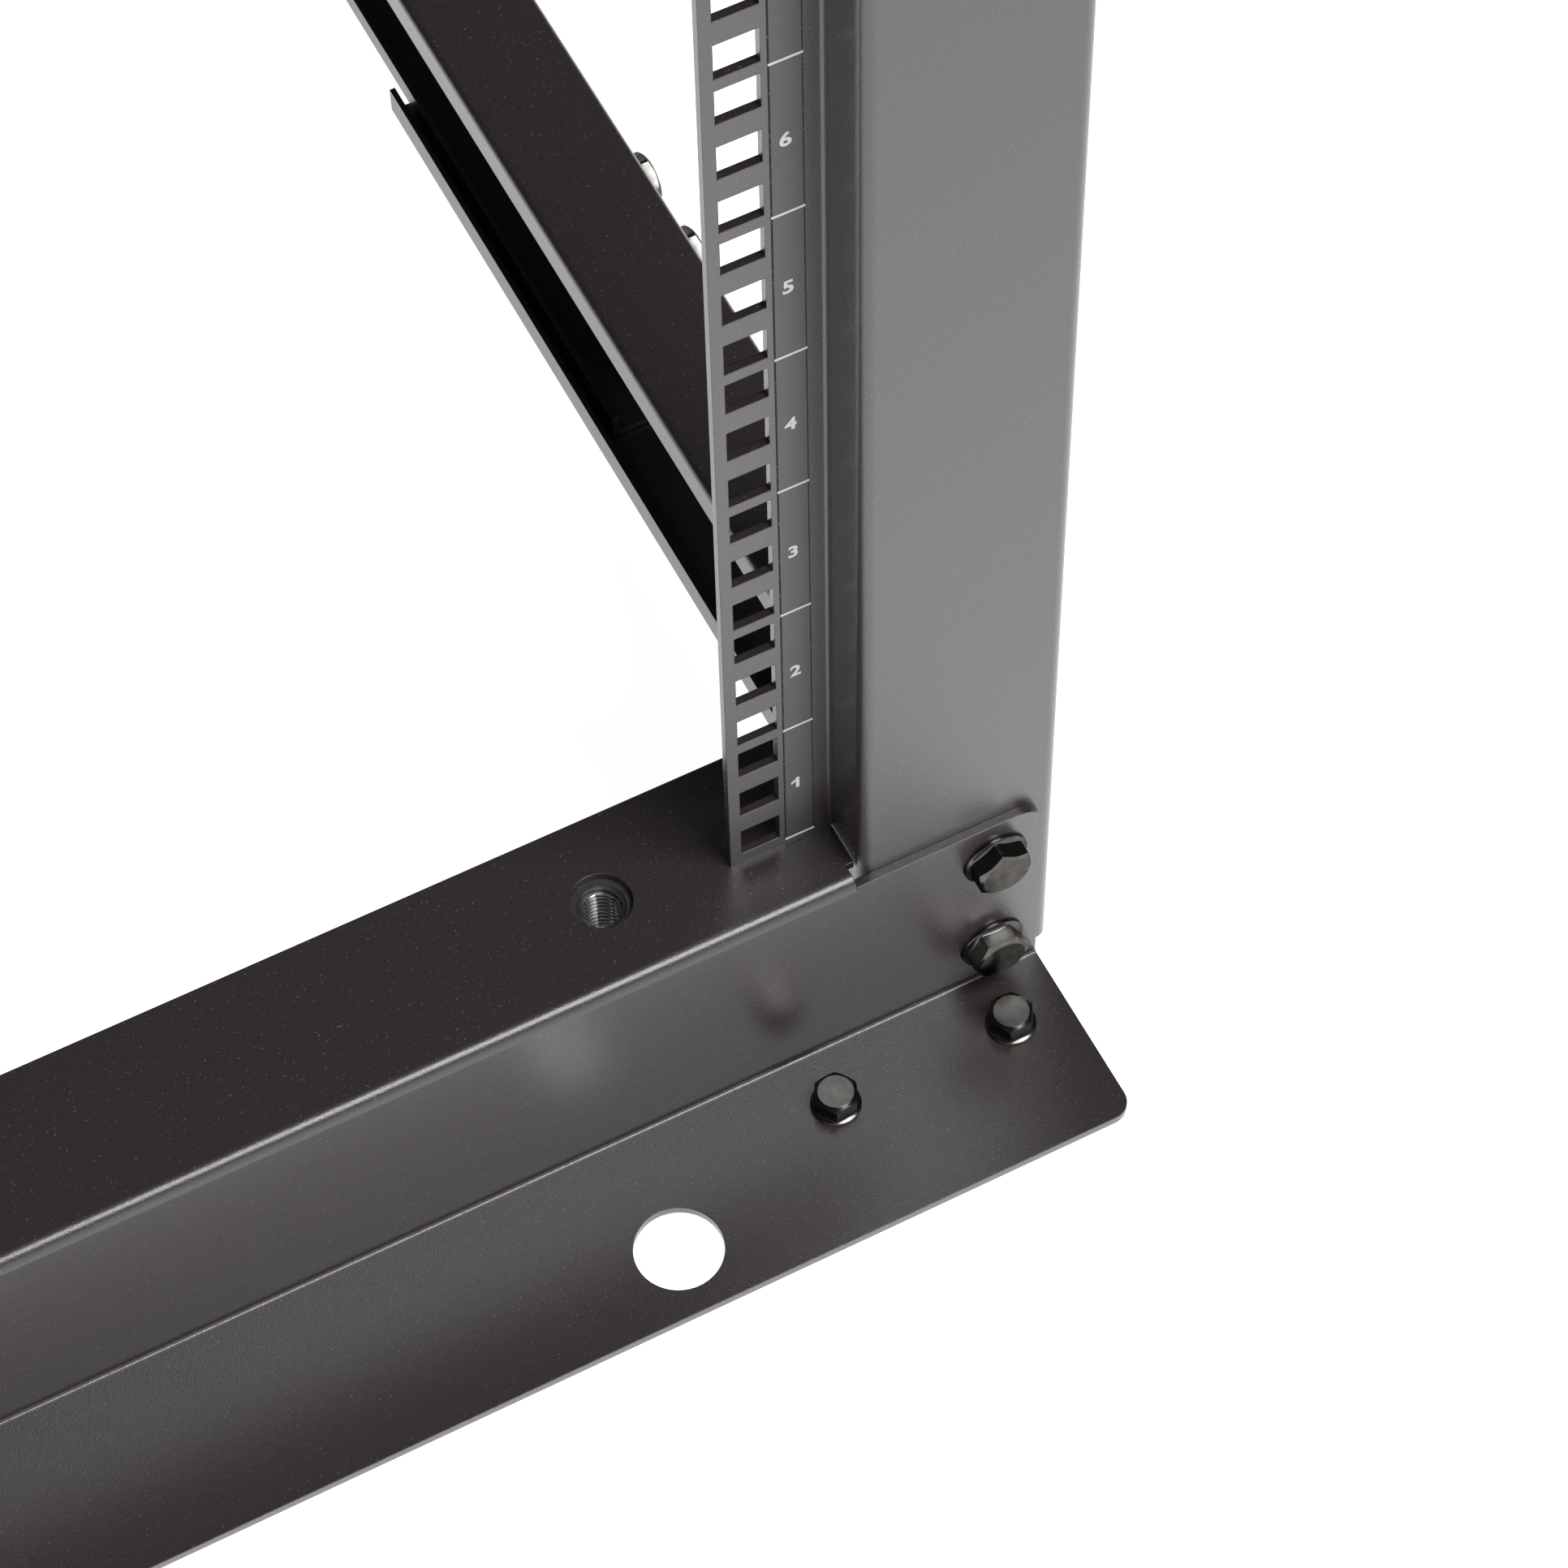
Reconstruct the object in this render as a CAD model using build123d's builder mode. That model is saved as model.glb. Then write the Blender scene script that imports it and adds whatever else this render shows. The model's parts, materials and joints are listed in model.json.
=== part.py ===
from build123d import *
import os

# A four-post open frame rack of bent sheet steel. X runs across the rack, Y from the front to
# the back and Z up, with the origin on the floor in the middle. Each piece is drawn for the
# front right corner of the base, and is mirrored to the other corners.

# Rack standard
rack_units = 12
unit_height = 44.45
hole_rows = (6.35, 22.225, 38.1)     # hole centres above each unit line
hole_size = 9.5
opening_width = 450.0                # clear width between the mounting flanges
hole_inset = 7.55                    # from the opening's edge to the middle of the holes
mounting_depth = 864.0               # front mounting face to rear mounting face

# Posts, each one bent sheet
post_sheet = 2.0
post_width = 49.5                    # the wide face to the front
post_step = 14.8                     # how far the mounting face lies behind that wide face
post_wall_depth = 76.0               # the outer wall, from the front to the back
post_return = 14.0                   # the lip at the outer wall's back edge
return_setback = 12.0                # how far the lip stops short of the side rails
flange_width = 25.2                  # mounting flange, from the opening to the post's inner wall
post_foot_gap = 1.3                  # from the post's end to the foot flange

# Front and rear beams
beam_sheet = 2.3
beam_height = 68.4
shelf_depth = 43.7                   # flange turned in towards the rack
foot_depth = 48.1                    # base flange turned out over the floor
unit_gap = 1.7                       # from the beam's shelf to the first unit line
tab_inset = 4.7                      # from the post's outer face to the end of the beam's tab
tab_corner = 6.0
foot_corner = 5.0
shelf_end_gap = 0.3                  # from the shelf's end to the post
tab_fall = 1.6                       # the tab's top lies this far below the shelf's
relief_from_end = 2.0                # the shelf's bend stops this far from its end
relief_depth = 5.6                   # notch in the shelf, behind the beam's face

# Bends
bend_inside = 1.0
rail_bend_inside = 0.5

# Side rails, each an outer channel at both ends with one longer channel sliding in them
rail_sheet = 1.5
rail_rise = 1.1                      # from the post's end to the rails
rail_height = 60.6
rail_width = 30.5
rail_lip = 9.7
rail_start = 6.0                     # from the mounting face to the rail's end
rail_length = 275.0
slider_length = 545.0
slider_width = 24.6
slider_lip = 7.8
slider_gap = 0.5                     # between the two channels, above and below
slot_rise = 13.0                     # from the rail's middle to each row of bolts
slot_margin = 9.0                    # left solid at each end of the rail

# Holes in the beams
anchor_diameter = 21.0
anchor_from_end = 109.5              # from the foot flange's end
anchor_from_edge = 16.5              # from the foot flange's free edge
foot_bolt_spacing = 46.0
foot_bolt_from_end = 14.5
foot_bolt_from_web = 14.8
leveller_hole = 14.3
leveller_thread = 10.0
leveller_from_post = 54.8            # from the post's inner wall
leveller_from_web = 22.5
weld_nut_diameter = 20.0
weld_nut_height = 16.0

# Bolts
big_thread = 8.0
big_hex = 12.8
big_flange = 16.0
big_flange_thickness = 1.3
big_head_height = 5.7
big_nut_height = 6.5
big_bolt_end = 3.0                   # shank past the nut
small_thread = 6.0
small_hex = 9.8
small_flange = 12.0
small_flange_thickness = 1.1
small_head_height = 5.9
small_bolt_end_gap = 1.0             # from a small bolt's end to the floor
bolt_clearance = 0.5                 # on the radius of a hole for a bolt
tab_bolt_spacing = 37.5
tab_bolt_from_end = 12.0
tab_bolt_above_foot = 13.7
wall_bolt_first = 16.0               # from the rail's end
wall_bolt_pitch = 24.0
clamp_bolt_first = 13.2              # from the slider's end
clamp_bolt_pitch = 26.0

# Foot plates under the corners, tapped for the small bolts
foot_plate_length = 76.0
foot_plate_width = 40.0
foot_plate_thickness = 5.0
foot_plate_inset = 3.0

# Levels, from the floor up
foot_bottom = foot_plate_thickness
foot_top = foot_bottom + beam_sheet
shelf_top = foot_bottom + beam_height
tab_top = shelf_top - tab_fall
first_unit = shelf_top + unit_gap
last_unit = first_unit + rack_units * unit_height
middle = (first_unit + last_unit) / 2
post_bottom = foot_top + post_foot_gap
post_top = 2 * middle - post_bottom
ceiling_shelf = 2 * middle - shelf_top
beam_top = 2 * middle - foot_bottom
rail_bottom = post_bottom + rail_rise
rail_top = rail_bottom + rail_height
rail_middle = (rail_bottom + rail_top) / 2

# Places across the rack, right side
inner_wall_x = opening_width / 2 + flange_width
outer_wall_x = inner_wall_x + post_width
beam_end_x = outer_wall_x - tab_inset
shelf_end_x = inner_wall_x - shelf_end_gap
bend_end_x = shelf_end_x - relief_from_end
web_x = outer_wall_x - post_sheet
rail_mouth_x = web_x - rail_width
slider_web_x = web_x - rail_sheet
slider_mouth_x = slider_web_x - slider_width

# Places along the rack, front end
mount_y = -mounting_depth / 2
post_front_y = mount_y - post_step
post_back_y = post_front_y + post_wall_depth
web_front_y = post_front_y - beam_sheet
shelf_back_y = web_front_y + shelf_depth
foot_edge_y = web_front_y - foot_depth
rail_front_y = mount_y + rail_start
rail_back_y = rail_front_y + rail_length
slider_front_y = -slider_length / 2

# Places of the bolts and holes
tab_bolt_x = beam_end_x - tab_bolt_from_end
tab_bolt_z = foot_top + tab_bolt_above_foot
foot_bolt_y = web_front_y - foot_bolt_from_web
wall_bolt_y = rail_front_y + wall_bolt_first
clamp_bolt_y = slider_front_y + clamp_bolt_first
anchor_x = beam_end_x - anchor_from_end
anchor_y = foot_edge_y + anchor_from_edge
leveller_x = inner_wall_x - leveller_from_post
leveller_y = web_front_y + leveller_from_web

os.makedirs("parts", exist_ok=True)


def write(part, name):
    part.label = name
    export_step(part, f"parts/{name}.step")


def write_ends(part, name):
    """Write a front piece, and its mirror image at the rear."""
    write(part, f"{name}_front")
    write(mirror(part, about=Plane.XZ), f"{name}_rear")


def write_sides(part, name):
    """Write a right hand piece, and its mirror image on the left."""
    write(part, f"{name}_right")
    write(mirror(part, about=Plane.YZ), f"{name}_left")


def write_corners(part, name):
    """Write a front right piece, and its mirror images at the other three corners."""
    write_sides(part, f"{name}_front")
    write_sides(mirror(part, about=Plane.XZ), f"{name}_rear")


def flange_bolt(thread, hexagon, flange, flange_thickness, head_height, length):
    """A hex flange bolt along Z, its flange resting on Z = 0 and its shank going down."""
    with BuildPart() as bolt:
        with BuildSketch():
            Circle(flange / 2)
        extrude(amount=flange_thickness)
        with BuildSketch():
            RegularPolygon(hexagon / 2, 6, major_radius=False)
        extrude(amount=head_height)
        with BuildSketch():
            Circle(thread / 2)
        extrude(amount=-length)
    return bolt.part


def big_bolt(grip):
    """A structural bolt with its nut, clamping the thickness given."""
    length = grip + big_nut_height + big_bolt_end
    with BuildPart() as bolt:
        add(flange_bolt(big_thread, big_hex, big_flange, big_flange_thickness, big_head_height, length))
        with BuildSketch(Plane.XY.offset(-grip)):
            RegularPolygon(big_hex / 2, 6, major_radius=False)
        extrude(amount=-big_nut_height)
    return bolt.part


# Post: mounting flange, inner wall, wide face, outer wall and return lip of one sheet
half_post = post_sheet / 2
post_bend = bend_inside + half_post
with BuildPart() as post:
    with BuildSketch(Plane.XY.offset(post_bottom)):
        with BuildLine():
            FilletPolyline(
                (opening_width / 2, mount_y + half_post),
                (inner_wall_x + half_post, mount_y + half_post),
                (inner_wall_x + half_post, post_front_y + half_post),
                (outer_wall_x - half_post, post_front_y + half_post),
                (outer_wall_x - half_post, post_back_y - half_post),
                (outer_wall_x - post_return, post_back_y - half_post),
                radius=post_bend,
            )
        trace(line_width=post_sheet)
    extrude(amount=post_top - post_bottom)
    # The mounting flange only runs between the two beams
    for level, height in ((post_bottom, shelf_top - post_bottom), (ceiling_shelf, post_top - ceiling_shelf)):
        with BuildSketch(Plane.XY.offset(level)):
            with Locations((inner_wall_x, mount_y + half_post)):
                Rectangle(flange_width, 2 * post_sheet, align=(Align.MAX, Align.CENTER))
        extrude(amount=height, mode=Mode.SUBTRACT)
    # The return lip and its bend stop short of the side rails
    lip_cut = rail_height + return_setback
    for level, height in ((post_bottom, lip_cut), (post_top, -lip_cut)):
        with BuildSketch(Plane.XY.offset(level)):
            with Locations((outer_wall_x, post_back_y)):
                Rectangle(post_return, post_sheet + bend_inside, align=Align.MAX)
        extrude(amount=height, mode=Mode.SUBTRACT)
    # Square holes for cage nuts
    with BuildSketch(Plane.XZ.offset(-mount_y)):
        for unit in range(rack_units):
            for row in hole_rows:
                with Locations((opening_width / 2 + hole_inset, first_unit + unit * unit_height + row)):
                    Rectangle(hole_size, hole_size)
    extrude(amount=-post_sheet, mode=Mode.SUBTRACT)
    # Round holes for the bolts to the beams
    with BuildSketch(Plane.XZ.offset(-post_front_y)):
        for z in (tab_bolt_z, tab_bolt_z + tab_bolt_spacing):
            with Locations((tab_bolt_x, z), (tab_bolt_x, 2 * middle - z)):
                Circle(big_thread / 2 + bolt_clearance)
    extrude(amount=-post_sheet, mode=Mode.SUBTRACT)
    # Round holes for the bolts to the side rails
    with BuildSketch(Plane.YZ.offset(web_x)):
        for y in (wall_bolt_y, wall_bolt_y + wall_bolt_pitch):
            with Locations((y, rail_middle), (y, 2 * middle - rail_middle)):
                Circle(big_thread / 2 + bolt_clearance)
    extrude(amount=post_sheet, mode=Mode.SUBTRACT)
write_corners(post.part, "post")


def beam(edge_y):
    """A beam with its shelf turned in, and its other flange running to edge_y."""
    half_beam = beam_sheet / 2
    web_y = web_front_y + half_beam
    flange = ((web_y, foot_bottom + half_beam), (edge_y, foot_bottom + half_beam))
    shelf = ((shelf_back_y, shelf_top - half_beam), (web_y, shelf_top - half_beam))
    tab = ((web_y, tab_top),)
    # The full section, and at both ends a flat tab that runs on over the post
    stretches = (
        (shelf, -bend_end_x, bend_end_x),
        (tab, bend_end_x, beam_end_x),
        (tab, -bend_end_x, -beam_end_x),
    )
    with BuildPart() as built:
        for upper_points, start_x, end_x in stretches:
            with BuildSketch(Plane.YZ.offset(start_x)):
                with BuildLine():
                    FilletPolyline(*upper_points, *flange, radius=bend_inside + half_beam)
                trace(line_width=beam_sheet)
            extrude(amount=end_x - start_x)
        # The flat shelf runs on behind the notch, up to the posts
        with BuildSketch(Plane.XY.offset(shelf_top)):
            with Locations(
                (-(bend_end_x + shelf_end_x) / 2, shelf_back_y),
                ((bend_end_x + shelf_end_x) / 2, shelf_back_y),
            ):
                Rectangle(
                    shelf_end_x - bend_end_x, shelf_depth - relief_depth, align=(Align.CENTER, Align.MAX)
                )
        extrude(amount=-beam_sheet)
        cross_edges = built.edges().filter_by(Axis.Y)
        outermost = cross_edges.filter_by_position(Axis.Z, tab_top - bend_inside, shelf_top).sort_by(Axis.X)
        fillet((outermost[0], outermost[-1]), tab_corner)
        # Holes for the bolts to the posts
        with BuildSketch(Plane.XZ.offset(-web_front_y)):
            for z in (tab_bolt_z, tab_bolt_z + tab_bolt_spacing):
                with Locations((-tab_bolt_x, z), (tab_bolt_x, z)):
                    Circle(big_thread / 2 + bolt_clearance)
        extrude(amount=-beam_sheet, mode=Mode.SUBTRACT)
    return built.part


# Base beam: its lower flange turns out over the floor
with BuildPart() as base_beam:
    add(beam(foot_edge_y))
    fillet(base_beam.edges().filter_by(Axis.Z).group_by(Axis.Y)[0], foot_corner)
    with BuildSketch(Plane.XY.offset(foot_top)):
        with Locations((-anchor_x, anchor_y), (anchor_x, anchor_y)):
            Circle(anchor_diameter / 2)
        for side in (-1, 1):
            for bolt in range(2):
                bolt_x = beam_end_x - foot_bolt_from_end - bolt * foot_bolt_spacing
                with Locations((side * bolt_x, foot_bolt_y)):
                    Circle(small_thread / 2 + bolt_clearance)
    extrude(amount=-beam_sheet, mode=Mode.SUBTRACT)
    with BuildSketch(Plane.XY.offset(shelf_top)):
        with Locations((-leveller_x, leveller_y), (leveller_x, leveller_y)):
            Circle(leveller_hole / 2)
    extrude(amount=-beam_sheet, mode=Mode.SUBTRACT)
write_ends(base_beam.part, "base_beam")

# Top beam: the same section upside down, with its upper flange turned in
top_beam = mirror(beam(shelf_back_y), about=Plane.XY.offset(middle))
write_ends(top_beam, "top_beam")


def channel(front_y, length, web, mouth, low, high, lip):
    """A lipped channel along Y, its web on the right and its mouth to the left."""
    half_rail = rail_sheet / 2
    with BuildPart() as built:
        with BuildSketch(Plane.XZ.offset(-front_y)):
            with BuildLine():
                FilletPolyline(
                    (mouth + half_rail, low + lip),
                    (mouth + half_rail, low + half_rail),
                    (web - half_rail, low + half_rail),
                    (web - half_rail, high - half_rail),
                    (mouth + half_rail, high - half_rail),
                    (mouth + half_rail, high - lip),
                    radius=rail_bend_inside + half_rail,
                )
            trace(line_width=rail_sheet)
        extrude(amount=-length)
    return built.part


# Side rail end: bolted inside the post's outer wall, with two rows of slots for the slider
slot_front_y = rail_front_y + wall_bolt_first + wall_bolt_pitch + 2 * slot_margin
slot_length = rail_back_y - slot_margin - slot_front_y
with BuildPart() as rail:
    add(channel(rail_front_y, rail_length, web_x, rail_mouth_x, rail_bottom, rail_top, rail_lip))
    with BuildSketch(Plane.YZ.offset(web_x)):
        with Locations((wall_bolt_y, rail_middle), (wall_bolt_y + wall_bolt_pitch, rail_middle)):
            Circle(big_thread / 2 + bolt_clearance)
        for rise in (-slot_rise, slot_rise):
            with Locations((slot_front_y + slot_length / 2, rail_middle + rise)):
                SlotOverall(slot_length, big_thread + 2 * bolt_clearance)
    extrude(amount=-rail_sheet, mode=Mode.SUBTRACT)
write_corners(rail.part, "rail_bottom")
write_corners(mirror(rail.part, about=Plane.XY.offset(middle)), "rail_top")

# Slider: the longer channel that joins the front and rear rail ends
slider_low = rail_bottom + rail_sheet + slider_gap
slider_high = rail_top - rail_sheet - slider_gap
with BuildPart() as slider:
    add(
        channel(
            slider_front_y, slider_length, slider_web_x, slider_mouth_x, slider_low, slider_high, slider_lip
        )
    )
    with BuildSketch(Plane.YZ.offset(slider_web_x)):
        for end in (-1, 1):
            for bolt in range(2):
                hole_y = end * (clamp_bolt_y + bolt * clamp_bolt_pitch)
                with Locations((hole_y, rail_middle - slot_rise), (hole_y, rail_middle + slot_rise)):
                    Circle(big_thread / 2 + bolt_clearance)
    extrude(amount=-rail_sheet, mode=Mode.SUBTRACT)
write_sides(slider.part, "slider_bottom")
write_sides(mirror(slider.part, about=Plane.XY.offset(middle)), "slider_top")

# Weld nut for a levelling foot, under the shelf
with BuildPart() as weld_nut:
    with BuildSketch(Plane.XY.offset(shelf_top - beam_sheet)):
        with Locations((leveller_x, leveller_y)):
            Circle(weld_nut_diameter / 2)
            Circle(leveller_thread / 2, mode=Mode.SUBTRACT)
    extrude(amount=-weld_nut_height)
write_corners(weld_nut.part, "weld_nut")

# Foot plate under the corner of the foot flange
with BuildPart() as foot_plate:
    with BuildSketch():
        with Locations((beam_end_x - foot_plate_inset - foot_plate_length / 2, foot_bolt_y)):
            RectangleRounded(foot_plate_length, foot_plate_width, foot_corner)
        for bolt in range(2):
            with Locations((beam_end_x - foot_bolt_from_end - bolt * foot_bolt_spacing, foot_bolt_y)):
                Circle(small_thread / 2, mode=Mode.SUBTRACT)
    extrude(amount=foot_plate_thickness)
write_corners(foot_plate.part, "foot_plate")

# Small bolts from the foot flange into the foot plate
small_bolt = flange_bolt(
    small_thread,
    small_hex,
    small_flange,
    small_flange_thickness,
    small_head_height,
    foot_top - small_bolt_end_gap,
)
with BuildPart() as foot_bolts:
    for bolt in range(2):
        with Locations((beam_end_x - foot_bolt_from_end - bolt * foot_bolt_spacing, foot_bolt_y, foot_top)):
            add(small_bolt)
write_corners(foot_bolts.part, "foot_bolts")

# Bolts through the beams' tabs and the post, at the base and at the top
tab_bolt = big_bolt(beam_sheet + post_sheet)
with BuildPart() as tab_bolts:
    for z in (tab_bolt_z, tab_bolt_z + tab_bolt_spacing):
        with Locations(
            Location((tab_bolt_x, web_front_y, z), (90, 0, 0)),
            Location((tab_bolt_x, web_front_y, 2 * middle - z), (90, 0, 0)),
        ):
            add(tab_bolt)
write_corners(tab_bolts.part, "tab_bolts")

# Bolts through the post's outer wall and the rails
wall_bolt = big_bolt(post_sheet + rail_sheet)
with BuildPart() as wall_bolts:
    for y in (wall_bolt_y, wall_bolt_y + wall_bolt_pitch):
        with Locations(
            Location((outer_wall_x, y, rail_middle), (0, 90, 0)),
            Location((outer_wall_x, y, 2 * middle - rail_middle), (0, 90, 0)),
        ):
            add(wall_bolt)
write_corners(wall_bolts.part, "wall_bolts")

# Bolts that clamp the slider in the rails' slots
clamp_bolt = big_bolt(2 * rail_sheet)
with BuildPart() as clamp_bolts:
    for y in (clamp_bolt_y, clamp_bolt_y + clamp_bolt_pitch):
        for rise in (-slot_rise, slot_rise):
            with Locations(
                Location((web_x, y, rail_middle + rise), (0, 90, 0)),
                Location((web_x, y, 2 * middle - rail_middle + rise), (0, 90, 0)),
            ):
                add(clamp_bolt)
write_corners(clamp_bolts.part, "clamp_bolts")
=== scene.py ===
"""The four-post open frame rack in a white studio: finishes for the sheet steel, and detailed
bolts, weld nut threads and unit strips on the CAD frame. Metres, in the frame's own axes."""

import json
from math import cos, pi, radians, sin, tan

import bmesh
import bpy
from mathutils import Matrix, Vector


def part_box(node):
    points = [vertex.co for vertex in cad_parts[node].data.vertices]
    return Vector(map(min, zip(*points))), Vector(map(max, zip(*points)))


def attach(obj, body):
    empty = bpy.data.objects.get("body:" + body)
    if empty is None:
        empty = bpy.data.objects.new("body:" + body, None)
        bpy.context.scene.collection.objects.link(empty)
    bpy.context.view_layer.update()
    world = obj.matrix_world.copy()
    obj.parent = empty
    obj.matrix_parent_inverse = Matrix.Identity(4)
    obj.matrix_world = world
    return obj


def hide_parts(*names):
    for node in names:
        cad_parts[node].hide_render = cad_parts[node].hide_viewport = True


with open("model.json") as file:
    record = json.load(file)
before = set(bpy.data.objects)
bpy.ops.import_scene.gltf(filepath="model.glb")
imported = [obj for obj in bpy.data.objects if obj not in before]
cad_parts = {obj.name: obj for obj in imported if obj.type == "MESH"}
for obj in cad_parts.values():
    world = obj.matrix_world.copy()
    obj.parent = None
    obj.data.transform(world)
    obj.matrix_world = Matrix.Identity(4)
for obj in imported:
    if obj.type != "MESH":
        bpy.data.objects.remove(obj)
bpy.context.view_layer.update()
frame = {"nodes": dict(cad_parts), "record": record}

mm = 0.001
ends = {"front": -1, "rear": 1}
sides = {"left": -1, "right": 1}

# Rack standard
unit_height = 44.45 * mm
rack_units = 12

# Hex flange bolts: widths of the thread, the hexagon across its flats, its outer face and the
# flange, heights of the flange's rim and the head from the seat, and the thread's pitch
big = dict(
    thread=8 * mm, hexagon=12.8 * mm, face=12.0 * mm, flange=16 * mm, rim=0.9 * mm, head=5.7 * mm,
    pitch=1.25 * mm,
)
small = dict(
    thread=6 * mm, hexagon=9.8 * mm, face=8.8 * mm, flange=12 * mm, rim=0.7 * mm, head=5.9 * mm,
    pitch=1.0 * mm,
)
big_nut_height = 6.5 * mm
big_bolt_end = 3.0 * mm
nut_clearance = 0.05 * mm            # between a nut's bore and the thread, on the radius
nut_lead_in = 0.5 * mm
nut_lead_in_depth = 0.4 * mm
flange_slope = radians(17)
chamfer_slope = radians(33)
rim_round = 0.2 * mm                 # on the flange's rim
edge_round = 0.15 * mm               # on the upper edges, across
edge_fall = 0.1 * mm                 # on the outer face's edge, downwards
corner_share = 0.985                 # a hexagon's rounded corner, of a sharp one's radius
fillet_share = 0.02                  # the fillet under the hexagon, of the flange's width
thread_share = 0.6                   # the thread's depth, of its pitch
thread_flat = 1 / 24                 # half the flat at crest and root, of the pitch
head_angles = 48
thread_steps = 8                     # rings in one turn of a thread

# Where the bolts of one node lie from each other
tab_bolt_spacing = 37.5 * mm
wall_bolt_pitch = 24.0 * mm
clamp_bolt_pitch = 26.0 * mm
clamp_bolt_rows = 26.0 * mm

# How far each head is turned about its axis, in degrees
tab_bolt_turns = (28, 5, 33, 16)
side_bolt_turns = (26, 3, 40, 17)
foot_bolt_turns = (35, 30.6)

# Weld nuts for the levelling feet
leveller_pitch = 1.5 * mm
leveller_crest = 8.4 * mm
leveller_root = 10.0 * mm
leveller_lead_in = 11.4 * mm
leveller_lead_in_depth = 2.4 * mm
leveller_run_in = 0.625              # turns until the thread is cut to its full depth
weld_nut_edge = 0.5 * mm
nut_angles = 96

# Unit strips on the mounting flanges
strip_width = 7.2 * mm
strip_from_hole = 6.1 * mm           # from the middle of the square holes
strip_thickness = 0.15 * mm
print_thickness = 0.04 * mm
border_thickness = 0.7 * strip_thickness
strip_border = 0.3 * mm
line_thickness = 0.65 * mm
digit_size = 5.3 * mm
digit_pitch = 3.4 * mm
digit_boldness = 0.15 * mm
digit_flag = ((0.0, 0.36), (-0.3, 0.17), (-0.3, 0.02), (0.0, 0.2))    # on a 1, in digit sizes
number_inset = 0.3 * mm              # from the strip's middle towards the opening
number_fall = 0.8 * mm               # below the unit's middle

# Camera, fitted to the photograph
camera_place = Vector((-0.03394, -0.98855, 1.0809))
camera_azimuth = radians(26.097)
camera_dip = radians(57.768)
camera_roll = radians(1.327)
camera_lens = 121.4
camera_sensor = 36.0

# Studio
sun_direction = Vector((0.233, -0.38, 0.895))
sun_strength = 2.3
sun_width = radians(30)
sky_strength = 1.4
sky_axis = (0, -0.6, -0.8)           # bright low down before the rack, dark behind and overhead
sky_dark = 0.036
sky_bright = (1.0, 0.98, 0.96)
sky_bright_from = 0.4                # along the axis, from the middle
floor_half = 30.0
floor_gap = 0.2 * mm                 # under the rack
floor_grey = 0.8
floor_glow = 0.95                    # only as the camera and reflections see it


# Meshes

def loft(shape, rings, place, closed=False):
    """Join rings of points one after another, then cap the ends or close them on each other."""
    loops = [[shape.verts.new(place @ Vector(point)) for point in ring] for ring in rings]
    pairs = list(zip(loops, loops[1:]))
    if closed:
        pairs.append((loops[-1], loops[0]))
    for low, high in pairs:
        for i in range(len(low)):
            j = (i + 1) % len(low)
            shape.faces.new((low[i], low[j], high[j], high[i]))
    if not closed:
        shape.faces.new(tuple(reversed(loops[0])))
        shape.faces.new(tuple(loops[-1]))


def ring(count, radius, height):
    """A ring of points about Z. The radius and the height are numbers or functions of the angle."""
    points = []
    for i in range(count):
        angle = 2 * pi * i / count
        r = radius(angle) if callable(radius) else radius
        z = height(angle) if callable(height) else height
        points.append((r * cos(angle), r * sin(angle), z))
    return points


def hexagon_radius(across_flats):
    """The radius of a hexagon with slightly rounded corners, as a function of the angle."""
    corner = across_flats / 2 / cos(pi / 6)

    def radius(angle):
        from_flat = (angle + pi / 6) % (pi / 3) - pi / 6
        return min(across_flats / 2 / cos(from_flat), corner_share * corner)

    return radius


def thread_radius(crest, depth, pitch, height):
    """The radius of a screw thread at one height, as a function of the angle."""

    def radius(angle):
        phase = (height / pitch - angle / (2 * pi)) % 1
        fall = (abs(phase - 0.5) - thread_flat) / (0.5 - 2 * thread_flat)
        return crest - depth * max(0, min(1, fall))

    return radius


def chamfered(radius, edge, top, slope):
    """The height of a side at each angle, where a cone cuts it at the top."""
    return lambda angle: top - max(0, radius(angle) - edge) * tan(slope)


def bolt_head(shape, size, place):
    """The flange and hexagon of a bolt, on its seat at Z = 0."""
    flange = size["flange"] / 2
    rim = size["rim"]
    top = size["head"]
    hexagon = hexagon_radius(size["hexagon"])
    edge = size["face"] / 2
    shoulder = top - edge_fall
    fillet = fillet_share * size["flange"]

    def slope(extra):
        return lambda angle: rim + (flange - fillet / 2 - hexagon(angle) - extra) * tan(flange_slope)

    rings = [
        ring(head_angles, flange - rim_round, 0),
        ring(head_angles, flange, rim_round),
        ring(head_angles, flange, rim - rim_round),
        ring(head_angles, flange - edge_round, rim),
        ring(head_angles, lambda angle: hexagon(angle) + fillet, slope(fillet)),
        ring(
            head_angles,
            lambda angle: hexagon(angle) + fillet / 3,
            lambda angle: slope(0)(angle) + fillet / 4,
        ),
        ring(head_angles, hexagon, lambda angle: slope(0)(angle) + fillet),
        ring(head_angles, hexagon, chamfered(hexagon, edge, shoulder, chamfer_slope)),
        ring(head_angles, edge, shoulder),
        ring(head_angles, edge - edge_round, top),
    ]
    loft(shape, rings, place)


def bolt_shank(shape, size, place, length, plain):
    """The shank below the seat: plain inside the sheets, then threaded to its end."""
    radius = size["thread"] / 2
    pitch = size["pitch"]
    depth = thread_share * pitch
    steps = int((length - plain) / pitch * thread_steps)
    rings = [ring(head_angles, radius - depth, -length)]
    for step in range(1, steps):
        height = -length + step * pitch / thread_steps
        taper = min(1, step / thread_steps)
        crest = radius - depth * (1 - taper)
        rings.append(ring(head_angles, thread_radius(crest, depth * taper, pitch, height), height))
    rings.append(ring(head_angles, radius, -plain))
    rings.append(ring(head_angles, radius, edge_fall))
    loft(shape, rings, place)


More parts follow.
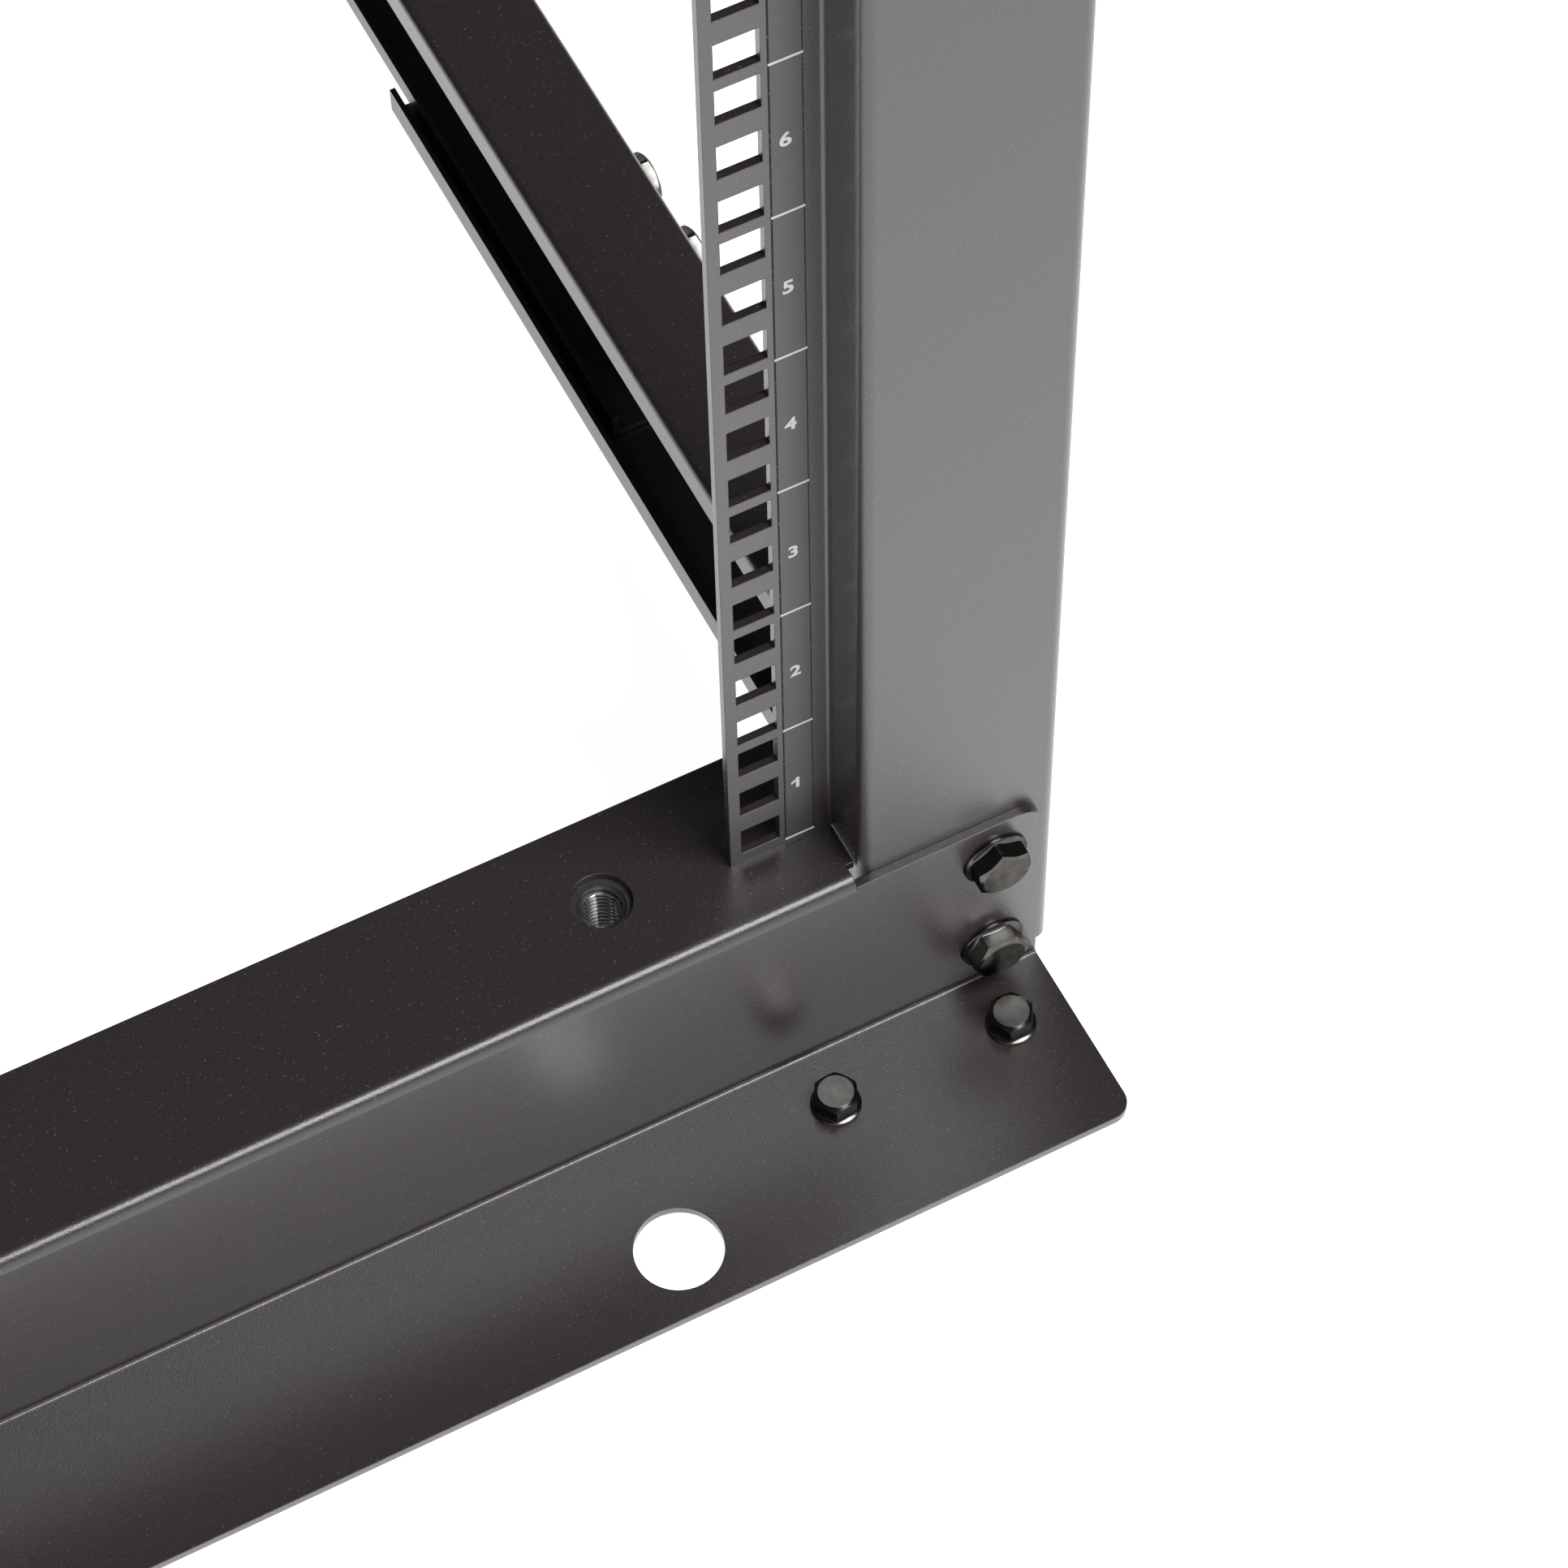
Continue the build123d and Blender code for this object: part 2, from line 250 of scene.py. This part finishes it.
def hex_nut(shape, size, place, seat, height):
    """A hexagon nut below the level of its seat, chamfered at both faces."""
    hexagon = hexagon_radius(size["hexagon"])
    edge = size["face"] / 2
    bore = size["thread"] / 2 + nut_clearance
    low = seat - height
    upper = chamfered(hexagon, edge, seat, chamfer_slope)
    rings = [
        ring(head_angles, bore, low + nut_lead_in_depth),
        ring(head_angles, bore + nut_lead_in, low),
        ring(head_angles, edge, low),
        ring(head_angles, hexagon, lambda angle: low + seat - upper(angle)),
        ring(head_angles, hexagon, upper),
        ring(head_angles, edge, seat),
        ring(head_angles, bore, seat),
    ]
    loft(shape, rings, place, closed=True)


def finish_piece(shape, name, materials, sharp=radians(32)):
    """Make an object of the mesh, smooth but for its sharp edges, that rides with the rack."""
    bmesh.ops.recalc_face_normals(shape, faces=shape.faces)
    mesh = bpy.data.meshes.new(name)
    shape.to_mesh(mesh)
    shape.free()
    mesh.shade_smooth()
    mesh.set_sharp_from_angle(angle=sharp)
    piece = bpy.data.objects.new(name, mesh)
    bpy.context.scene.collection.objects.link(piece)
    for material in materials:
        mesh.materials.append(material)
    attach(piece, "root")
    return piece


# Materials

def new_material(name, values):
    """A Principled material with the given values on its sockets: its node tree and its shader."""
    material = bpy.data.materials.new(name)
    material.use_nodes = True
    tree = material.node_tree
    shader = tree.nodes["Principled BSDF"]
    for socket, value in values.items():
        shader.inputs[socket].default_value = value
    return material, tree, shader


def object_noise(tree, scale, detail):
    """A noise texture in the rack's own metres."""
    place = tree.nodes.new("ShaderNodeTexCoord")
    noise = tree.nodes.new("ShaderNodeTexNoise")
    noise.inputs["Scale"].default_value = scale
    noise.inputs["Detail"].default_value = detail
    tree.links.new(place.outputs["Object"], noise.inputs["Vector"])
    return noise.outputs["Fac"]


def ramp(tree, factor, stops):
    """A colour ramp with the stops given as (place, grey or colour)."""
    node = tree.nodes.new("ShaderNodeValToRGB")
    elements = node.color_ramp.elements
    while len(elements) < len(stops):
        elements.new(0.5)
    for element, (place, colour) in zip(elements, stops):
        element.position = place
        element.color = (*colour, 1) if isinstance(colour, tuple) else (colour, colour, colour, 1)
    tree.links.new(factor, node.inputs["Fac"])
    return node.outputs["Color"]


def paint(tree, shader, noise, stops):
    """Colour the surface by a noise."""
    tree.links.new(ramp(tree, noise, stops), shader.inputs["Base Color"])


def bump(tree, shader, noise, strength, distance, edge_radius=0.0):
    """Bump the surface by a noise, on edges that are rounded where a radius is given."""
    node = tree.nodes.new("ShaderNodeBump")
    node.inputs["Strength"].default_value = strength
    node.inputs["Distance"].default_value = distance
    tree.links.new(noise, node.inputs["Height"])
    if edge_radius > 0:
        edges = tree.nodes.new("ShaderNodeBevel")
        edges.samples = 6
        edges.inputs["Radius"].default_value = edge_radius
        tree.links.new(edges.outputs["Normal"], node.inputs["Normal"])
    tree.links.new(node.outputs["Normal"], shader.inputs["Normal"])
    tree.links.new(node.outputs["Normal"], shader.inputs["Coat Normal"])


def powder_coat():
    """Satin black powder coat: a fine grain, with a few pale specks painted in as sparkle glints."""
    gloss = {"Roughness": 0.65, "IOR": 1.5, "Coat Weight": 1.0, "Coat Roughness": 0.27, "Coat IOR": 1.65}
    material, tree, shader = new_material("black_powder_coat", gloss)
    grain = object_noise(tree, 2300.0, 2.0)
    # pale specks in the base colour: painted sparkle glints
    glint_specks = object_noise(tree, 1900.0, 1.0)
    dark = (0.016, 0.0085, 0.0102)
    glint_pale = (0.12, 0.11, 0.11)
    paint(tree, shader, glint_specks, ((0.0, dark), (0.70, dark), (0.76, glint_pale)))
    bump(tree, shader, grain, 0.7, 0.07 * mm, edge_radius=0.35 * mm)
    return material


def black_zinc():
    """Glossy black zinc on the bolts, a little worn in the grain."""
    gloss = {"Metallic": 1.0, "Roughness": 0.2, "Specular Tint": (0.4, 0.39, 0.37, 1)}
    material, tree, shader = new_material("black_zinc_bolt", gloss)
    wear = object_noise(tree, 420.0, 4.0)
    paint(tree, shader, wear, ((0.3, (0.08, 0.077, 0.073)), (0.7, (0.13, 0.126, 0.12))))
    bump(tree, shader, wear, 0.25, 0.05 * mm, edge_radius=0.15 * mm)
    return material


def bare_steel():
    """Bright cut steel on the crests of the weld nut's thread."""
    material, tree, shader = new_material("weld_nut_thread", {"Metallic": 1.0, "Roughness": 0.3})
    marks = object_noise(tree, 900.0, 3.0)
    paint(tree, shader, marks, ((0.3, 0.35), (0.7, 0.55)))
    bump(tree, shader, marks, 0.2, 0.05 * mm)
    return material


def nut_coat():
    """Dull dark coat on the outside of the weld nut, and painted shade in its thread's roots."""
    material, tree, shader = new_material("weld_nut_coat_and_root_shade", {"Metallic": 0.6, "Roughness": 0.5})
    marks = object_noise(tree, 500.0, 3.0)
    paint(tree, shader, marks, ((0.3, 0.05), (0.7, 0.09)))
    bump(tree, shader, marks, 0.3, 0.08 * mm)
    return material


def strip_vinyl():
    """Dark grey film of the unit strips."""
    material, tree, shader = new_material("unit_strip_film", {"Roughness": 0.42, "IOR": 1.8})
    grain = object_noise(tree, 700.0, 2.0)
    paint(tree, shader, grain, ((0.3, (0.030, 0.029, 0.030)), (0.7, (0.036, 0.035, 0.036))))
    bump(tree, shader, grain, 0.1, 0.03 * mm)
    return material


def strip_cut():
    """Painted shadow along the film's cut edge: a dark colour, with pale flecks along it."""
    material, tree, shader = new_material("unit_strip_shaded_edge", {"Roughness": 0.8})
    pale_flecks = object_noise(tree, 1400.0, 2.0)
    paint(tree, shader, pale_flecks, ((0.0, 0.006), (0.6, 0.006), (0.68, 0.2)))
    return material


def white_print():
    """White ink of the numbers and lines."""
    material, tree, shader = new_material("unit_strip_print", {"Roughness": 0.55})
    grain = object_noise(tree, 1500.0, 2.0)
    paint(tree, shader, grain, ((0.3, 0.88), (0.7, 0.96)))
    return material


def seen_or_mirrored(tree):
    """1 for what the camera sees or finds in a reflection or through glass, otherwise 0."""
    path = tree.nodes.new("ShaderNodeLightPath")
    total = path.outputs["Is Camera Ray"]
    for other in ("Is Glossy Ray", "Is Transmission Ray"):
        largest = tree.nodes.new("ShaderNodeMath")
        largest.operation = "MAXIMUM"
        tree.links.new(total, largest.inputs[0])
        tree.links.new(path.outputs[other], largest.inputs[1])
        total = largest.outputs[0]
    return total


def white_floor():
    """A matt floor that is white where it is lit, and keeps the rack's soft shadow."""
    material = bpy.data.materials.new("studio_floor")
    material.use_nodes = True
    tree = material.node_tree
    tree.nodes.remove(tree.nodes["Principled BSDF"])
    matt = tree.nodes.new("ShaderNodeBsdfDiffuse")
    matt.inputs["Color"].default_value = (floor_grey, floor_grey, floor_grey, 1)
    glow = tree.nodes.new("ShaderNodeEmission")
    strength = tree.nodes.new("ShaderNodeMath")
    strength.operation = "MULTIPLY"
    strength.inputs[1].default_value = floor_glow
    tree.links.new(seen_or_mirrored(tree), strength.inputs[0])
    tree.links.new(strength.outputs[0], glow.inputs["Strength"])
    both = tree.nodes.new("ShaderNodeAddShader")
    tree.links.new(matt.outputs[0], both.inputs[0])
    tree.links.new(glow.outputs[0], both.inputs[1])
    tree.links.new(both.outputs[0], tree.nodes["Material Output"].inputs["Surface"])
    return material


# Pieces

def bolt(shape, size, seat, outward, turn, length, nut_seat=None):
    """A flange bolt on its seat, its head turned about its axis, with a nut where one is given."""
    place = Matrix.Translation(seat) @ outward.to_track_quat("Z", "Y").to_matrix().to_4x4()
    place = place @ Matrix.Rotation(turn, 4, "Z")
    bolt_head(shape, size, place)
    if nut_seat is None:
        bolt_shank(shape, size, place, length, length / 2)
    else:
        bolt_shank(shape, size, place, length, nut_seat)
        hex_nut(shape, size, place, -nut_seat, big_nut_height)


def big_bolts(name, seats, outward, turns, material):
    """One piece of the bolts with nuts whose seats are given."""
    low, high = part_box(name)
    axis = max(range(3), key=lambda i: abs(outward[i]))
    length = high[axis] - low[axis] - big["head"]
    shape = bmesh.new()
    for number, seat in enumerate(seats):
        turn = radians(turns[number % len(turns)])
        bolt(shape, big, seat, outward, turn, length, length - big_nut_height - big_bolt_end)
    piece = finish_piece(shape, name + "_detailed", [material])
    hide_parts(name)


def tab_bolts(end, side, material):
    """Bolts through the beams' tabs, their heads to the front or the rear."""
    name = f"tab_bolts_{end}_{side}"
    low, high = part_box(name)
    outward = Vector((0, ends[end], 0))
    seat_y = (low.y + big["head"]) if ends[end] < 0 else (high.y - big["head"])
    x = (low.x + high.x) / 2
    lowest = low.z + big["flange"] / 2
    highest = high.z - big["flange"] / 2
    heights = (lowest, lowest + tab_bolt_spacing, highest - tab_bolt_spacing, highest)
    seats = [Vector((x, seat_y, z)) for z in heights]
    big_bolts(name, seats, outward, tab_bolt_turns, material)


def side_bolts(kind, end, side, pitch, rows, material):
    """Bolts through the side rails, their heads to the outside, in two rows or in two pairs of rows."""
    name = f"{kind}_{end}_{side}"
    low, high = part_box(name)
    outward = Vector((sides[side], 0, 0))
    seat_x = (high.x - big["head"]) if sides[side] > 0 else (low.x + big["head"])
    places_y = (low.y + big["flange"] / 2, low.y + big["flange"] / 2 + pitch)
    lowest = low.z + big["flange"] / 2
    highest = high.z - big["flange"] / 2
    heights = (lowest, lowest + rows, highest - rows, highest) if rows else (lowest, highest)
    seats = [Vector((seat_x, y, z)) for y in places_y for z in heights]
    big_bolts(name, seats, outward, side_bolt_turns, material)


def foot_bolts(end, side, material):
    """Small bolts from the foot flange into the foot plate."""
    name = f"foot_bolts_{end}_{side}"
    low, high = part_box(name)
    y = (low.y + high.y) / 2
    seat_z = high.z - small["head"]
    shape = bmesh.new()
    upward = Vector((0, 0, 1))
    for x, turn in zip((low.x + small["flange"] / 2, high.x - small["flange"] / 2), foot_bolt_turns):
        bolt(shape, small, Vector((x, y, seat_z)), upward, radians(turn), seat_z - low.z)
    piece = finish_piece(shape, name + "_detailed", [material])
    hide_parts(name)


def weld_nut(end, side, coat, steel):
    """A weld nut under the shelf's hole. Its thread is bright at the crests; its roots are painted dark
    as shade.
    """
    name = f"weld_nut_{end}_{side}"
    low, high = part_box(name)
    place = Matrix.Translation(((low.x + high.x) / 2, (low.y + high.y) / 2, low.z))
    outside = (high.x - low.x) / 2
    height = high.z - low.z
    root = leveller_root / 2
    depth = (leveller_root - leveller_crest) / 2
    lead_in = leveller_lead_in / 2
    rings = [
        ring(nut_angles, leveller_crest / 2, 0),
        ring(nut_angles, outside - weld_nut_edge, 0),
        ring(nut_angles, outside, weld_nut_edge),
        ring(nut_angles, outside, height),
        ring(nut_angles, lead_in, height),
    ]
    steps = int(height / leveller_pitch * thread_steps)
    for step in range(1, steps):
        level = height - step * leveller_pitch / thread_steps
        cut = depth * min(1, step / thread_steps / leveller_run_in)
        open_radius = root + (lead_in - root) * max(0, 1 - (height - level) / leveller_lead_in_depth)
        radius = thread_radius(open_radius, cut, leveller_pitch, level)
        rings.append(ring(nut_angles, radius, level))
    shape = bmesh.new()
    loft(shape, rings, place, closed=True)
    axis = place.translation
    # the thread's roots, out from this radius, keep the dark coat: painted shade in the roots; faces
    # nearer the axis take bright steel
    root_shade_radius = root - depth / 2
    for face in shape.faces:
        from_axis = (face.calc_center_median().xy - axis.xy).length
        if from_axis < root_shade_radius:
            face.material_index = 1
    piece = finish_piece(shape, name + "_threaded", [coat, steel], sharp=radians(40))
    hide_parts(name)


def plate(shape, low, high):
    """A thin box between two corners."""
    outline = ((low[0], low[1]), (high[0], low[1]), (high[0], high[1]), (low[0], high[1]))
    loft(shape, [[(x, y, z) for x, y in outline] for z in (low[2], high[2])], Matrix.Identity(4))


def digit_mesh(digit):
    """The mesh of one digit in a plain bold hand, flat on XY and centred on the origin."""
    curve = bpy.data.curves.new("digit", "FONT")
    curve.body = digit
    curve.size = digit_size
    curve.align_x = "CENTER"
    curve.align_y = "CENTER"
    curve.offset = digit_boldness
    curve.extrude = print_thickness / 2
    curve.resolution_u = 6
    holder = bpy.data.objects.new("digit", curve)
    bpy.context.scene.collection.objects.link(holder)
    bpy.context.view_layer.update()
    mesh = bpy.data.meshes.new_from_object(holder.evaluated_get(bpy.context.evaluated_depsgraph_get()))
    bpy.data.objects.remove(holder)
    bpy.data.curves.remove(curve)
    return mesh


def print_number(shape, number, place):
    """A number of one or two digits about the origin of a place, each 1 with its flag."""
    digits = str(number)
    for i, digit in enumerate(digits):
        here = place @ Matrix.Translation(((i - (len(digits) - 1) / 2) * digit_pitch, 0, 0))
        mesh = digit_mesh(digit)
        mesh.transform(here)
        shape.from_mesh(mesh)
        bpy.data.meshes.remove(mesh)
        if digit == "1":
            flag = [(x * digit_size, y * digit_size) for x, y in digit_flag]
            depths = (-0.4 * print_thickness, 0.4 * print_thickness)
            loft(shape, [[(x, y, z) for x, y in flag] for z in depths], here)


def unit_strip(end, side, film, film_edge_shade, ink):
    """The film along a mounting flange, with a line at each unit and the units' numbers."""
    hole = next(m for m in frame["record"]["mounts"] if m["name"] == f"cage_nut_u01_{end}_{side}")
    hole_x, face_y, hole_z = hole["pos_m"]
    outward = ends[end]
    first_unit = hole_z - unit_height / 2
    top = first_unit + rack_units * unit_height
    inner = hole_x + sides[side] * strip_from_hole
    outer = inner + sides[side] * strip_width
    low_x, high_x = min(inner, outer), max(inner, outer)
    border_y = face_y + outward * border_thickness
    film_y = face_y + outward * strip_thickness
    print_y = film_y + outward * print_thickness

    # a dark plate under the film, showing round its edge: painted shadow along the film's edge
    edge = bmesh.new()
    plate(edge, (low_x, min(face_y, border_y), first_unit), (high_x, max(face_y, border_y), top))
    finish_piece(edge, f"unit_strip_edge_{end}_{side}", [film_edge_shade])
    shape = bmesh.new()
    low = (low_x + strip_border, min(border_y, film_y), first_unit + strip_border)
    high = (high_x - strip_border, max(border_y, film_y), top - strip_border)
    plate(shape, low, high)
    strip = finish_piece(shape, f"unit_strip_{end}_{side}", [film])

    marks = bmesh.new()
    for unit in range(rack_units + 1):
        z = first_unit + unit * unit_height
        low = (low_x, min(border_y, print_y), z - line_thickness / 2)
        high = (high_x, max(border_y, print_y), z + line_thickness / 2)
        plate(marks, low, high)
    upright = Matrix.Rotation(pi / 2, 4, "X")
    if outward > 0:
        upright = Matrix.Rotation(pi, 4, "Z") @ upright
    number_x = (low_x + high_x) / 2 - sides[side] * number_inset
    for unit in range(rack_units):
        number_z = first_unit + (unit + 0.5) * unit_height - number_fall
        middle = Vector((number_x, (film_y + print_y) / 2, number_z))
        print_number(marks, unit + 1, Matrix.Translation(middle) @ upright)
    finish_piece(marks, f"unit_marks_{end}_{side}", [ink])


def studio():
    """The floor, the world and the soft sun."""
    mesh = bpy.data.meshes.new("floor")
    h = floor_half
    mesh.from_pydata([(-h, -h, 0), (h, -h, 0), (h, h, 0), (-h, h, 0)], [], [(0, 1, 2, 3)])
    floor = bpy.data.objects.new("floor", mesh)
    floor.location.z = -floor_gap
    bpy.context.scene.collection.objects.link(floor)
    mesh.materials.append(white_floor())

    lamp = bpy.data.lights.new("soft_sun", "SUN")
    lamp.energy = sun_strength
    lamp.angle = sun_width
    sun = bpy.data.objects.new("soft_sun", lamp)
    sun.rotation_euler = sun_direction.to_track_quat("Z", "Y").to_euler()
    bpy.context.scene.collection.objects.link(sun)

    world = bpy.data.worlds.new("studio")
    bpy.context.scene.world = world
    world.use_nodes = True
    tree = world.node_tree
    place = tree.nodes.new("ShaderNodeTexCoord")
    weigh = tree.nodes.new("ShaderNodeVectorMath")
    weigh.operation = "DOT_PRODUCT"
    weigh.inputs[1].default_value = sky_axis
    tree.links.new(place.outputs["Generated"], weigh.inputs[0])
    sky = ramp(tree, weigh.outputs["Value"], ((0.0, sky_dark), (sky_bright_from, sky_bright)))
    tree.links.new(sky, tree.nodes["Background"].inputs["Color"])
    tree.nodes["Background"].inputs["Strength"].default_value = sky_strength


def camera():
    """The photograph's camera."""
    az, dip, roll = camera_azimuth, camera_dip, camera_roll
    forward = Vector((sin(az) * cos(dip), cos(az) * cos(dip), -sin(dip)))
    right = Vector((cos(az), -sin(az), 0))
    down = forward.cross(right)
    rolled_right = cos(roll) * right + sin(roll) * down
    rolled_down = cos(roll) * down - sin(roll) * right
    data = bpy.data.cameras.new("camera")
    data.sensor_width = camera_sensor
    data.lens = camera_lens
    view = bpy.data.objects.new("camera", data)
    turn = Matrix((rolled_right, -rolled_down, -forward)).transposed()
    view.matrix_world = Matrix.Translation(camera_place) @ turn.to_4x4()
    bpy.context.scene.collection.objects.link(view)
    bpy.context.scene.camera = view


coat = powder_coat()
zinc = black_zinc()
nut_coat_and_shade = nut_coat()
nut_thread = bare_steel()
film = strip_vinyl()
film_edge_shade = strip_cut()
ink = white_print()

finishes = {"black_powder_coat": coat, "black_zinc_bolt": zinc, "weld_nut_steel": nut_coat_and_shade}
for subpart in frame["record"]["subparts"]:
    mesh = frame["nodes"][subpart["node"]].data
    mesh.materials.clear()
    mesh.materials.append(finishes[subpart["material_slot"]])

for end in ends:
    for side in sides:
        tab_bolts(end, side, zinc)
        side_bolts("wall_bolts", end, side, wall_bolt_pitch, 0, zinc)
        side_bolts("clamp_bolts", end, side, clamp_bolt_pitch, clamp_bolt_rows, zinc)
        foot_bolts(end, side, zinc)
        weld_nut(end, side, nut_coat_and_shade, nut_thread)
        unit_strip(end, side, film, film_edge_shade, ink)

studio()
camera()
bpy.context.scene.view_settings.view_transform = "Standard"
